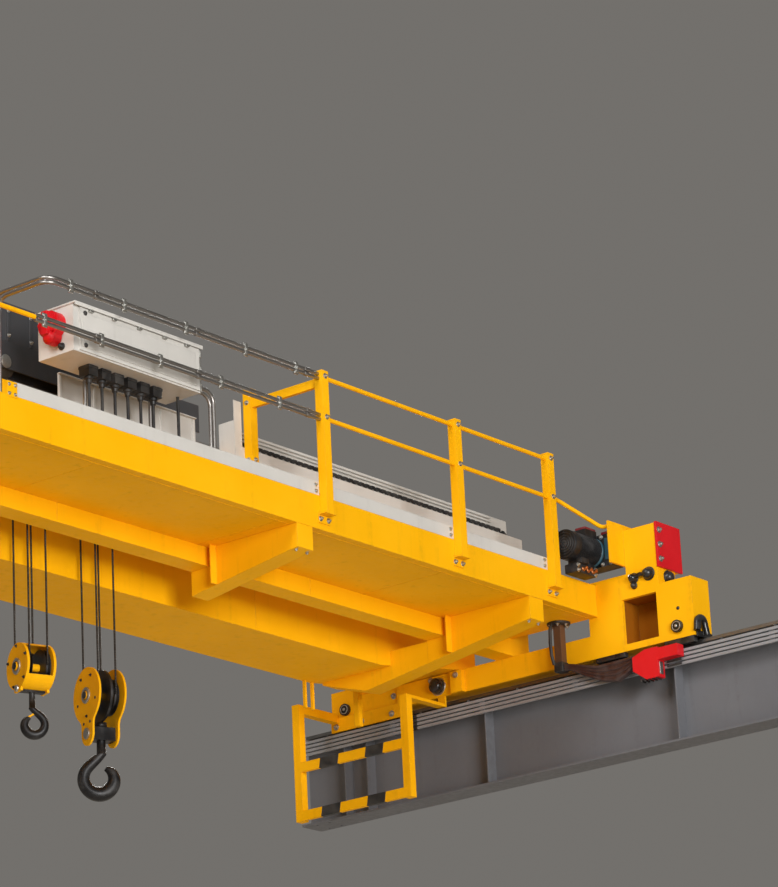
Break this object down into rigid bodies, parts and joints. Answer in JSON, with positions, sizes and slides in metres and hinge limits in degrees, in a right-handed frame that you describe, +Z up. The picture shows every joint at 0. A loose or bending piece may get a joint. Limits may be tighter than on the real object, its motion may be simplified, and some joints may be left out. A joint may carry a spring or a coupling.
{
  "type": "overhead bridge crane",
  "caption": "Double-girder overhead travelling crane on two runway girders, with walkway, control cabinet, trolley, main and auxiliary hook blocks and wheel-driven travel.",
  "frame": {"origin": "on the underside of the right runway girder, under the middle of its rail and halfway along it", "axes": "+X along the bridge towards the right runway, +Y along the runways away from the walkway side, +Z up"},
  "size_m": [17.506, 11.86, 4.2046],
  "materials": {
    "yellow_paint": "semi-gloss",
    "runway_grey": "satin",
    "rail_steel": "worn",
    "bar_metal": "satin",
    "wheel_steel": "turned",
    "red_paint": "gloss",
    "black_cap": "gloss",
    "off_white_paint": "satin",
    "black_plastic": "matte",
    "trough_grey": "satin",
    "bronze_paint": "satin",
    "cable_brown": "matte",
    "machine_black": "satin",
    "hoist_grey": "satin",
    "rope_steel": "greased",
    "hook_black": "satin"
  },
  "bodies": {
    "runways": {"runway_girder_right": "runway_grey", "runway_girder_left": "runway_grey", "runway_rail_right": "rail_steel", "runway_rail_left": "rail_steel", "conductor_bars": "bar_metal"},
    "bridge": {"end_carriage_right": "yellow_paint", "end_carriage_left": "yellow_paint", "stop_plates": "red_paint", "axle_caps": "black_cap", "main_girder": "yellow_paint", "auxiliary_girder": "yellow_paint", "trolley_rails": "rail_steel", "walkway_channel": "yellow_paint", "walkway_soffit": "yellow_paint", "walkway_deck": "yellow_paint", "toe_board": "off_white_paint", "walkway_brackets": "yellow_paint", "handrail_posts": "yellow_paint", "handrails": "yellow_paint", "control_cabinet": "off_white_paint", "isolator_switch": "red_paint", "cable_glands": "black_plastic", "cabinet_cables": "black_plastic", "conduits": "bar_metal", "chain_trough": "trough_grey", "feed_chain": "black_plastic", "collector_post": "bronze_paint", "collector_box": "red_paint", "tow_arm": "cable_brown", "rope_guard": "yellow_paint", "travel_drives": "machine_black"},
    "travel_wheel_right_near": {"travel_wheel_right_near": "wheel_steel"},
    "travel_wheel_right_far": {"travel_wheel_right_far": "wheel_steel"},
    "travel_wheel_left_near": {"travel_wheel_left_near": "wheel_steel"},
    "travel_wheel_left_far": {"travel_wheel_left_far": "wheel_steel"},
    "trolley": {"trolley_frame": "hoist_grey", "main_hoist": "hoist_grey", "aux_hoist": "hoist_grey", "hoist_motor": "machine_black", "main_ropes": "rope_steel", "aux_ropes": "rope_steel"},
    "trolley_axle_left": {"trolley_axle_left": "wheel_steel"},
    "trolley_axle_right": {"trolley_axle_right": "wheel_steel"},
    "main_block": {"main_block_cheeks": "yellow_paint", "main_block_sheaves": "hook_black"},
    "main_hook": {"main_hook": "hook_black"},
    "aux_block": {"aux_block_cheeks": "yellow_paint", "aux_block_sheaves": "hook_black"},
    "aux_hook": {"aux_hook": "hook_black"}
  },
  "joints": [
    {"name": "crane_travel", "type": "slide", "parent": "runways", "child": "bridge", "axis": [0, 1, 0], "range_m": [-6.1, 0]},
    {"name": "travel_wheel_right_near_spin", "type": "hinge", "parent": "bridge", "child": "travel_wheel_right_near", "pos_m": [0, 1.08, 1.1303], "axis": [1, 0, 0], "range_deg": [-20, 2440]},
    {"name": "travel_wheel_right_far_spin", "type": "hinge", "parent": "bridge", "child": "travel_wheel_right_far", "pos_m": [0, 5.28, 1.1303], "axis": [1, 0, 0], "range_deg": [-20, 2440]},
    {"name": "travel_wheel_left_near_spin", "type": "hinge", "parent": "bridge", "child": "travel_wheel_left_near", "pos_m": [-17, 1.08, 1.1303], "axis": [1, 0, 0], "range_deg": [-20, 2440]},
    {"name": "travel_wheel_left_far_spin", "type": "hinge", "parent": "bridge", "child": "travel_wheel_left_far", "pos_m": [-17, 5.28, 1.1303], "axis": [1, 0, 0], "range_deg": [-20, 2440]},
    {"name": "trolley_traverse", "type": "slide", "parent": "bridge", "child": "trolley", "axis": [1, 0, 0], "range_m": [-7.9, 3.3]},
    {"name": "trolley_axle_left_spin", "type": "hinge", "parent": "trolley", "child": "trolley_axle_left", "pos_m": [-7.361, 3.5395, 2.6053], "axis": [0, 1, 0], "range_deg": [-3650, 1540]},
    {"name": "trolley_axle_right_spin", "type": "hinge", "parent": "trolley", "child": "trolley_axle_right", "pos_m": [-5.081, 3.5395, 2.6053], "axis": [0, 1, 0], "range_deg": [-3650, 1540]},
    {"name": "main_lift", "type": "slide", "parent": "trolley", "child": "main_block", "axis": [0, 0, 1], "range_m": [-5, 0.7], "deforming": ["main_ropes"]},
    {"name": "main_hook_swivel", "type": "hinge", "parent": "main_block", "child": "main_hook", "pos_m": [-5.786, 3.5395, -0.5], "axis": [0, 0, 1], "continuous": true},
    {"name": "aux_lift", "type": "slide", "parent": "trolley", "child": "aux_block", "axis": [0, 0, 1], "range_m": [-5, 0.7], "deforming": ["aux_ropes"]},
    {"name": "aux_hook_swivel", "type": "hinge", "parent": "aux_block", "child": "aux_hook", "pos_m": [-6.656, 3.5395, -0.5], "axis": [0, 0, 1], "continuous": true}
  ],
  "couplings": [
    {"joint": "travel_wheel_right_near_spin", "follows": "crane_travel", "rad_per_m": -6.8966},
    {"joint": "travel_wheel_right_far_spin", "follows": "crane_travel", "rad_per_m": -6.8966},
    {"joint": "travel_wheel_left_near_spin", "follows": "crane_travel", "rad_per_m": -6.8966},
    {"joint": "travel_wheel_left_far_spin", "follows": "crane_travel", "rad_per_m": -6.8966},
    {"joint": "trolley_axle_left_spin", "follows": "trolley_traverse", "rad_per_m": 8},
    {"joint": "trolley_axle_right_spin", "follows": "trolley_traverse", "rad_per_m": 8}
  ]
}
